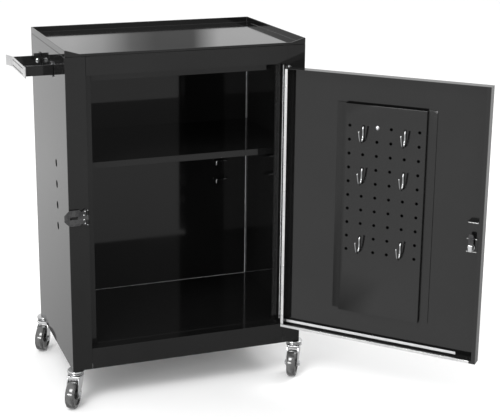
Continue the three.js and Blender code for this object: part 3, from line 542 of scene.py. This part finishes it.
peg_mesh = bake_nodes(blank, punch, {
    "Columns": PEG_COLUMNS, "Rows": PEG_ROWS, "Pitch": PEG_PITCH, "Radius": PEG_HOLE,
    "Depth": 4 * PEG_SHEET, "Finish": enamel,
    "Middle": (peg_first + (PEG_COLUMNS - 1) * PEG_PITCH / 2, peg_high.y - PEG_SHEET / 2,
               peg_top - (PEG_ROWS - 1) * PEG_PITCH / 2),
}, "pegboard_panel")
peg_mesh.transform(on_door)
peg_mesh.polygons.foreach_set("use_smooth", [True] * len(peg_mesh.polygons))
peg_mesh.set_sharp_from_angle(angle=math.radians(25))
add_piece("pegboard_panel", peg_mesh, enamel, "door", ["pegboard"])

# ---------------------------------------------------------------- rivets and screws
# Small domed rivets hold the piano hinge to the stile and the door, and one plated screw
# stands in a hole of the pegboard's top row. Each set is one run of the same tree.
rivets, rivets_in, rivets_out = new_tree("domed_rivets", (
    ("Head radius", "NodeSocketFloat"), ("Head height", "NodeSocketFloat"),
    ("Finish", "NodeSocketMaterial"),
))
dome = rivets.nodes.new("GeometryNodeMeshUVSphere")
dome.inputs["Segments"].default_value = 16
dome.inputs["Rings"].default_value = 8
dome_size = rivets.nodes.new("ShaderNodeCombineXYZ")
link(rivets, rivets_in.outputs["Head radius"], dome_size.inputs["X"])
link(rivets, rivets_in.outputs["Head radius"], dome_size.inputs["Y"])
link(rivets, rivets_in.outputs["Head height"], dome_size.inputs["Z"])
flat_dome = rivets.nodes.new("GeometryNodeTransform")
link(rivets, dome.outputs["Mesh"], flat_dome.inputs["Geometry"])
link(rivets, dome_size.outputs["Vector"], flat_dome.inputs["Scale"])
facing = rivets.nodes.new("GeometryNodeInputNamedAttribute")
facing.data_type = "FLOAT_VECTOR"
facing.inputs["Name"].default_value = "facing"
aim = rivets.nodes.new("FunctionNodeAlignRotationToVector")
aim.axis = "Z"
link(rivets, facing.outputs["Attribute"], aim.inputs["Vector"])
heads = rivets.nodes.new("GeometryNodeInstanceOnPoints")
link(rivets, rivets_in.outputs["Geometry"], heads.inputs["Points"])
link(rivets, flat_dome.outputs["Geometry"], heads.inputs["Instance"])
link(rivets, aim.outputs["Rotation"], heads.inputs["Rotation"])
real_heads = rivets.nodes.new("GeometryNodeRealizeInstances")
link(rivets, heads.outputs["Instances"], real_heads.inputs["Geometry"])
coat = rivets.nodes.new("GeometryNodeSetMaterial")
link(rivets, real_heads.outputs["Geometry"], coat.inputs["Geometry"])
link(rivets, rivets_in.outputs["Finish"], coat.inputs["Material"])
link(rivets, coat.outputs["Geometry"], rivets_out.inputs["Geometry"])


def add_rivets(name, places, way, matrix, radius, height, material, body, nodes=()):
    """Domed heads at places in the matrix's millimetres, all facing one way."""
    points = bpy.data.meshes.new(name)
    points.from_pydata([tuple(p) for p in places], [], [])
    attribute = points.attributes.new("facing", "FLOAT_VECTOR", "POINT")
    for item in attribute.data:
        item.vector = way
    source = bpy.data.objects.new(name, points)
    bpy.context.scene.collection.objects.link(source)
    sizes = {"Head radius": radius, "Head height": height, "Finish": material}
    mesh = bake_nodes(source, rivets, sizes, name)
    mesh.transform(matrix)
    mesh.polygons.foreach_set("use_smooth", [True] * len(mesh.polygons))
    add_piece(name, mesh, material, body, nodes)


leaf_low, leaf_high = in_corner("hinge_leaf_frame", from_corner)
JAMB_RIVETS = 5
JAMB_PITCH = 113.5
JAMB_FIRST = 18
JAMB_DEPTH = 9
add_rivets("jamb_rivets",
           [(leaf_low.x, JAMB_DEPTH, leaf_low.z + JAMB_FIRST + i * JAMB_PITCH) for i in range(JAMB_RIVETS)],
           (-1, 0, 0), from_corner, 2.0, 0.9, zinc, "cabinet")
# A pale strip along the jamb leaf's edge is a painted highlight, standing in for the light the hinge's
# rounded fold catches.
strips("hinge_leaf_edge_highlight", [
    ((leaf_low.x - 0.35, leaf_high.y - 0.9, leaf_low.z + 1),
     (leaf_low.x - 0.05, leaf_high.y + 0.3, leaf_high.z - 1)),
], from_corner, highlight_zinc, "cabinet", 0.1)
STRIP_RIVETS = 10
STRIP_PITCH = 48.5
STRIP_FIRST = 24
add_rivets("strip_rivets", [
    (door_high.x - 0.6, door_high.y + STRIP, door_low.z + STRIP_FIRST + i * STRIP_PITCH)
    for i in range(STRIP_RIVETS)
], (0, 1, 0), on_door, 1.3, 0.5, zinc, "door")
SCREW_COLUMN = 3
add_rivets("pegboard_screw", [(peg_first + SCREW_COLUMN * PEG_PITCH, peg_high.y, peg_top)],
           (0, 1, 0), on_door, 4.2, 2.0, zinc, "door")

# ---------------------------------------------------------------- wire hooks
# Hard-drawn wire bent to a J for the pegboard and to an L for the back wall, cut off
# square with the burr rounded, and bright chrome plated.
chrome = finish_material("chrome_plate", (0.66, 0.665, 0.67), (0.5, 0.505, 0.51), (0.06, 0.16),
                         (0.1, 0.03), (800.0, 40.0), metallic=1.0)


def smooth_route(points, steps):
    """Points along a centripetal Catmull-Rom curve through the given ones."""
    points = [Vector(p) for p in points]
    ends = [2 * points[0] - points[1], *points, 2 * points[-1] - points[-2]]
    route = []
    for a, b, c, d in zip(ends, ends[1:], ends[2:], ends[3:]):
        t1 = (b - a).length ** 0.5
        t2 = t1 + (c - b).length ** 0.5
        t3 = t2 + (d - c).length ** 0.5
        for i in range(steps):
            t = t1 + (t2 - t1) * i / steps
            a1 = a.lerp(b, t / t1)
            a2 = b.lerp(c, (t - t1) / (t2 - t1))
            a3 = c.lerp(d, (t - t2) / (t3 - t2))
            b1 = a1.lerp(a2, t / t2)
            b2 = a2.lerp(a3, (t - t1) / (t3 - t1))
            route.append(b1.lerp(b2, (t - t1) / (t2 - t1)))
    return [*route, points[-1]]


def sweep_wire(bm, route, radius, sides=14):
    """A round wire along a route, with its two cut ends rounded off."""
    along = [(b - a).normalized() for a, b in zip(route, route[1:])]
    tangents = [along[0], *[(a + b).normalized() for a, b in zip(along, along[1:])], along[-1]]
    normal = tangents[0].orthogonal().normalized()
    rings = []

    def ring(centre, tangent, size):
        across = tangent.cross(normal)
        angles = [2 * math.pi * i / sides for i in range(sides)]
        rings.append([
            bm.verts.new(centre + size * (normal * math.cos(w) + across * math.sin(w)))
            for w in angles
        ])

    rounding = 0.5 * radius
    ring(route[0] - tangents[0] * rounding, tangents[0], radius * 0.55)
    ring(route[0] - tangents[0] * rounding * 0.6, tangents[0], radius * 0.86)
    for centre, tangent in zip(route, tangents):
        normal = (normal - tangent * normal.dot(tangent)).normalized()
        ring(centre, tangent, radius)
    ring(route[-1] + tangents[-1] * rounding * 0.6, tangents[-1], radius * 0.86)
    ring(route[-1] + tangents[-1] * rounding, tangents[-1], radius * 0.55)
    for lower, upper in zip(rings, rings[1:]):
        for i in range(sides):
            j = (i + 1) % sides
            bm.faces.new((lower[i], lower[j], upper[j], upper[i]))
    bm.faces.new(rings[0][::-1])
    bm.faces.new(rings[-1])


PEG_WIRE = 1.8
PEG_REACH = 22.0
PEG_DROP = 27.0
hook_rows = {"upper": 0, "middle": 3, "lower": PEG_ROWS - 2}
hook_columns = {"left": PEG_COLUMNS - 2, "right": 1}
for level, row in hook_rows.items():
    for side, column in hook_columns.items():
        x = peg_first + column * PEG_PITCH
        z = peg_top - row * PEG_PITCH
        face = peg_high.y
        stem = face + 0.3 + PEG_WIRE
        bm = bmesh.new()
        sweep_wire(bm, smooth_route([
            (x, face - 2.4, z), (x, face, z - 0.2), (x, stem, z - 2.5), (x, stem, z - 0.55 * PEG_DROP),
            (x, stem + 0.1 * PEG_REACH, z - 0.85 * PEG_DROP),
            (x, stem + 0.35 * PEG_REACH, z - PEG_DROP),
            (x, stem + 0.62 * PEG_REACH, z - 0.86 * PEG_DROP),
            (x, stem + 0.8 * PEG_REACH, z - 0.6 * PEG_DROP),
            (x, stem + PEG_REACH, z - 0.15 * PEG_DROP),
        ], 6), PEG_WIRE)
        name = f"peg_hook_{level}_{side}"
        wire = make_mesh(name, bm, on_door, 60)
        add_piece(f"{name}_wire", wire, chrome, "door", [name])

WALL_WIRE = 1.75
for node in ("wall_hook_upper", "wall_hook_lower"):
    low, high = in_corner(node, from_corner)
    back = high.y
    line = low.y + WALL_WIRE
    right = high.x - WALL_WIRE
    tip = low.x + WALL_WIRE
    z = high.z - WALL_WIRE
    bend = 2 * WALL_WIRE
    bm = bmesh.new()
    sweep_wire(bm, smooth_route([
        (right, back - 0.9, z), (right, line + bend, z), (right - bend * 0.3, line + bend * 0.3, z),
        (right - bend, line, z), (tip + bend, line, z), (tip + 0.3 * bend, line, z - 0.3 * bend),
        (tip, line, z - bend), (tip, line, low.z + 1),
    ], 5), WALL_WIRE)
    wire = make_mesh(node, bm, from_corner, 60)
    add_piece(f"{node}_wire", wire, chrome, "cabinet", [node])

# ---------------------------------------------------------------- lock
# A chromed cam lock through the door skin, held under a small folded cover, with a black
# flat cam on its tail.
folded_sheet("lock_cover", "door", radius=0.5)
satin_black = finish_material("satin_black_steel", (0.012, 0.012, 0.013), (0.05, 0.05, 0.05),
                              (0.16, 0.3), (0.5, 0.08), (500.0, 90.0), ior=1.5)
folded_sheet("lock_housing", "door", chrome, 0.3)
folded_sheet("lock_plug", "lock_barrel", chrome, 0.2)
folded_sheet("lock_cam", "lock_barrel", satin_black, 0.3)
cover_low, cover_high = in_corner("lock_cover", on_door)
STEP_Z = 24.0
STEP_DEPTH = 4.0
strips("lock_cover_edges", [
    ((cover_low.x + 1.5, far - 0.1, z - 0.5), (cover_high.x - 1.5, far + 0.3, z + 0.6))
    for z, far in (
        (cover_high.z - 0.7, cover_high.y - STEP_DEPTH), (cover_low.z + STEP_Z - 0.5, cover_high.y),
        (cover_low.z + 0.5, cover_high.y),
    )
], on_door, bright_steel, "door", 0.15)
cam_back = in_corner("lock_cam", on_door)[1].y
plug_low, plug_high = in_corner("lock_plug", on_door)
lock_x = (plug_low.x + plug_high.x) / 2
lock_z = (plug_low.z + plug_high.z) / 2
NUT_HALF = 4
strips("lock_nut", [
    ((lock_x - NUT_HALF, cam_back + 0.1, lock_z - 6.5), (lock_x + NUT_HALF, cam_back + 3.4, lock_z + 6)),
], on_door, chrome, "lock_barrel", 1.2, 4)

# ---------------------------------------------------------------- hasp and staple
# A pressed hasp on the left stile, folded back on its pin, and a bent-wire staple on the
# door that its slot drops over. Both are blackened steel.
# A flat, darker black used partly to paint shade: on the hasp's base plate behind the slot, and in the
# grip's grooves.
matt_black = finish_material("matt_black_steel", (0.004, 0.004, 0.004), (0.012, 0.012, 0.012),
                             (0.45, 0.65), (0.3, 0.05), (500.0, 90.0), ior=1.35)
# The base plate is black steel, given the darker matt black so the hasp's slot reads dark over it: partly
# its own colour, partly painted shade.
for node, body, material in (("hasp_base", "cabinet", matt_black), ("hasp_strap", "hasp", satin_black)):
    folded_sheet(node, body, material, 0.3)
folded_sheet("hasp_pin", "cabinet", zinc, 0.2)
folded_sheet("hasp_staple", "door", satin_black, 0.1)
strap_low, strap_high = in_corner("hasp_strap", from_corner)
strap_z = (strap_low.z + strap_high.z) / 2
strap_front = strap_low.y + 1.8
add_rivets("hasp_rivets", [
    (strap_high.x - inset, strap_front, strap_z + rise)
    for inset, rise in ((7.2, 11), (7.2, -11), (9, 4), (9, -4))
], (0, -1, 0), from_corner, 1.5, 0.8, zinc, "hasp")

# ---------------------------------------------------------------- side handle
# Two flat steel arms bolted to small angle brackets on the side panel, and a bright strip
# across their ends whose grooves are drawn as thin dark strips of painted shade.
arm_low, arm_high = in_corner("handle_arm_front", from_corner)
bracket_low, bracket_high = in_corner("handle_bracket_front", from_corner)
strips("handle_arm_front_bar", [(arm_low, arm_high)],
       from_corner, enamel, "cabinet", 0.5, nodes=["handle_arm_front"])
BRACKET_PLATE = 2.0
strips("handle_bracket_front_angle", [
    ((bracket_low.x, bracket_low.y, arm_low.z + 0.6),
     (bracket_high.x, bracket_low.y + BRACKET_PLATE, arm_high.z - 0.6)),
    ((bracket_high.x - BRACKET_PLATE, bracket_low.y, bracket_low.z), tuple(bracket_high)),
], from_corner, satin_black, "cabinet", 0.3, nodes=["handle_bracket_front"])
# A pale strip along the front bracket's edge is a painted highlight on that edge.
strips("handle_bracket_edge_highlight", [
    ((bracket_high.x - BRACKET_PLATE - 0.2, bracket_low.y - 0.6, bracket_low.z + 0.4),
     (bracket_high.x - 0.6, bracket_low.y - 0.1, bracket_high.z - 0.4)),
], from_corner, zinc, "cabinet", 0.15)
bolt_low, bolt_high = in_corner("handle_bolt_front", from_corner)
bolt_head = ((bolt_low.x + bolt_high.x) / 2, bracket_low.y + BRACKET_PLATE, (arm_low.z + arm_high.z) / 2)
add_rivets("handle_bolt_front_head", [bolt_head], (0, 1, 0), from_corner, 4.6, 3.2, chrome,
           "cabinet", ["handle_bolt_front"])
folded_sheet("handle_arm_back", "cabinet", enamel, 0.4)
folded_sheet("handle_bracket_back", "cabinet", satin_black, 0.3)
folded_sheet("handle_bolt_back", "cabinet", chrome, 0.3)
folded_sheet("handle_grip", "cabinet", bright_steel, 0.4)
grip_low, grip_high = in_corner("handle_grip", from_corner)
# The grip's grooves are not cut: thin dark strips laid across it paint the shade that would lie in them.
GROOVE_HALF = 0.6
GROOVE_ENDS = (2, 96)
groove_shade_strips = []
for share in (0.22, 0.78):
    z = grip_low.z + share * (grip_high.z - grip_low.z)
    for near, far in ((0.2, 0.6), (-2.6, -2.2)):
        groove_shade_strips.append((
            (arm_low.x + near, arm_high.y + GROOVE_ENDS[0], z - GROOVE_HALF),
            (arm_low.x + far, arm_high.y + GROOVE_ENDS[1], z + GROOVE_HALF),
        ))
strips("grip_groove_shade", groove_shade_strips, from_corner, matt_black, "cabinet", 0.15)

# ---------------------------------------------------------------- casters
# Twin-race swivel casters: two pressed ball races on a kingpin, a pressed chrome fork with
# rolled edges, an axle bolt with a nut, and a black wheel with a polished grey tread.
black_wheel = finish_material("black_wheel", (0.006, 0.006, 0.006), (0.02, 0.02, 0.02),
                              (0.2, 0.34), (0.2, 0.05), (500.0, 80.0), ior=1.5)
polished_tread = finish_material("polished_tread", (0.045, 0.045, 0.045), (0.07, 0.07, 0.07),
                                 (0.12, 0.22), (0.15, 0.05), (600.0, 60.0), ior=1.9)


def lathe(bm, profile, segments):
    """A closed profile of radius and height spun about Z; radius 0 closes at a pole."""
    columns = []
    for radius, height in profile:
        if radius == 0:
            columns.append([bm.verts.new((0, 0, height))] * segments)
            continue
        columns.append([
            bm.verts.new((
                radius * math.cos(2 * math.pi * i / segments),
                radius * math.sin(2 * math.pi * i / segments), height,
            )) for i in range(segments)
        ])
    pairs = list(zip(columns, columns[1:]))
    if profile[0][0] and profile[-1][0]:
        pairs.append((columns[-1], columns[0]))
    for lower, upper in pairs:
        for i in range(segments):
            k = (i + 1) % segments
            corners = dict.fromkeys((lower[i], lower[k], upper[k], upper[i]))
            if len(corners) > 2:
                bm.faces.new(list(corners))


def rounded(points, radius, steps=4):
    """A closed profile with each of its corners turned into a short arc."""
    result = []
    for before, here, after in zip(points[-1:] + points[:-1], points, points[1:] + points[:1]):
        a, b, c = Vector(before), Vector(here), Vector(after)
        reach = min(radius, 0.45 * (a - b).length, 0.45 * (c - b).length)
        start = b + (a - b).normalized() * reach
        end = b + (c - b).normalized() * reach
        for i in range(steps + 1):
            t = i / steps
            result.append(tuple((start.lerp(b, t)).lerp(b.lerp(end, t), t)))
    return result


STEM = 4.0
STEM_TOP = 24.0
RACE = 16.0
RIM = 4.2
CROWN_TOP = -8.3
CROWN_BOTTOM = -10.7
CROWN = 15.0
AXLE_Z = -41.0
TRAIL = 18.0
WHEEL = 25.0
WHEEL_HALF = 8.5
FORK_IN = 9.7
FORK_OUT = 11.7
TREAD_EDGE = 22.6


def draw_head(bm):
    """Two pressed races, one over the other, and the kingpin with its stem and riveted end."""
    upper = [(STEM, -0.3), (RACE - 1, -0.3), (RACE, -2.0), (RACE, -3.4), (RACE - 2.5, -RIM), (STEM, -RIM)]
    lower = [
        (STEM, -RIM - 0.3), (RACE - 3, -RIM - 0.3), (RACE - 0.6, -5.4), (RACE - 1.2, -7.2),
        (RACE - 4, -8.0), (STEM, -8.0),
    ]
    for race in (upper, lower):
        lathe(bm, rounded(race, 0.8), 48)
    kingpin_profile = [
        (0, STEM_TOP), (STEM - 0.6, STEM_TOP), (STEM, STEM_TOP - 0.6), (STEM, CROWN_BOTTOM - 0.3),
        (6.2, CROWN_BOTTOM - 0.3), (7, CROWN_BOTTOM - 1), (6.4, CROWN_BOTTOM - 2),
        (3, CROWN_BOTTOM - 2.5), (0, CROWN_BOTTOM - 2.5),
    ]
    lathe(bm, kingpin_profile[::-1], 32)


def draw_fork(bm):
    """Crown disc, shoulders and two cheeks that narrow from the crown to the axle boss."""
    bore = STEM + 0.4
    crown = [(bore, CROWN_TOP), (bore, CROWN_BOTTOM), (CROWN, CROWN_BOTTOM), (CROWN, CROWN_TOP)]
    lathe(bm, rounded(crown, 0.7), 48)
    boss = 7.0
    steps = 12
    edge = [
        (11.0, CROWN_TOP), (-CROWN, CROWN_TOP), (-CROWN - 1.2, CROWN_BOTTOM - 1),
        (-TRAIL - boss + 0.4, AXLE_Z + 6),
    ]
    for i in range(steps + 1):
        angle = math.radians(170 + i * 175 / steps)
        edge.append((-TRAIL + boss * math.cos(angle), AXLE_Z + boss * math.sin(angle)))
    edge += [(6.0, CROWN_BOTTOM - 13), (9.5, CROWN_BOTTOM - 6)]
    for side in (-1, 1):
        inner = [bm.verts.new((side * FORK_IN, y, z)) for y, z in edge]
        outer = [bm.verts.new((side * FORK_OUT, y, z)) for y, z in edge]
        bm.faces.new(inner)
        bm.faces.new(outer[::-1])
        for i in range(len(edge)):
            k = (i + 1) % len(edge)
            bm.faces.new((inner[i], outer[i], outer[k], inner[k]))
    block(bm, (-FORK_OUT, -CROWN, CROWN_BOTTOM), (FORK_OUT, -CROWN + 22, CROWN_TOP))
    block(bm, (-FORK_OUT, -CROWN - 1.2, CROWN_BOTTOM - 3), (FORK_OUT, -CROWN, CROWN_TOP))


def across_fork():
    return Matrix.Translation((0, -TRAIL, AXLE_Z)) @ Matrix.Rotation(math.radians(90), 4, "Y")


def draw_axle(bm):
    """Bolt across the fork with a domed head on one side and a hexagon nut on the other."""
    far = FORK_OUT + 0.3
    bolt = [
        (0, -FORK_OUT - 3.0), (2.6, -FORK_OUT - 2.8), (4.6, -FORK_OUT - 1.8), (5.4, -FORK_OUT - 0.3),
        (3, -FORK_OUT - 0.3), (3, far), (3, FORK_OUT + 3.0), (2.2, FORK_OUT + 3.4), (0, FORK_OUT + 3.4),
    ]
    nut = [(3.05, far), (5.5, far), (5.5, FORK_OUT + 2.7), (3.05, FORK_OUT + 2.7)]
    lathe(bm, bolt, 24)
    lathe(bm, rounded(nut, 0.3, 1), 6)
    bm.transform(across_fork())


def draw_wheel(bm):
    """A hub and a tyre with a dished web between them, the same on both sides."""
    half = [
        (3.3, WHEEL_HALF), (8.0, WHEEL_HALF), (9.2, WHEEL_HALF - 1.8), (18.0, WHEEL_HALF - 1.8),
        (19.5, WHEEL_HALF - 0.2), (TREAD_EDGE, WHEEL_HALF - 0.2), (24.3, WHEEL_HALF - 1.4),
        (WHEEL, WHEEL_HALF - 3.2), (WHEEL + 0.02, 0.0),
    ]
    profile = half + [(radius, -width) for radius, width in reversed(half[:-1])]
    lathe(bm, profile, 72)
    bm.transform(across_fork())


for corner_name in ("front_left", "front_right", "rear_left", "rear_right"):
    swivel = next(j for j in frame["joints"] if j["name"] == f"caster_swivel_{corner_name}")
    spin = next(j for j in frame["joints"] if j["name"] == f"wheel_spin_{corner_name}")
    kingpin = Vector((swivel["pos_m"][0], swivel["pos_m"][1], corner.z))
    axle = Vector(spin["pos_m"])
    heading = math.atan2(axle.y - kingpin.y, axle.x - kingpin.x) + math.pi / 2
    turned = Matrix.Translation(kingpin) @ Matrix.Rotation(heading, 4, "Z") @ Matrix.Scale(MM, 4)
    for label, draw, material, body, slot in (
        ("head", draw_head, chrome, "cabinet", "chrome"),
        ("fork", draw_fork, chrome, f"caster_{corner_name}", "chrome"),
        ("axle", draw_axle, zinc, f"caster_{corner_name}", "zinc"),
        ("wheel", draw_wheel, black_wheel, f"wheel_{corner_name}", "wheel"),
    ):
        bm = bmesh.new()
        draw(bm)
        node = f"caster_{label}_{corner_name}"
        mesh = make_mesh(node, bm, turned)
        piece = add_piece(f"{node}_made", mesh, material, body, [node])
        if label == "fork":
            round_edges(piece, 0.7, 3)
        if label == "wheel":
            piece.data.materials.append(polished_tread)
            for face in piece.data.polygons:
                if (face.center - axle).length > TREAD_EDGE * MM:
                    face.material_index = 1
    folded_sheet(f"caster_socket_{corner_name}", "cabinet", zinc, 0.2)
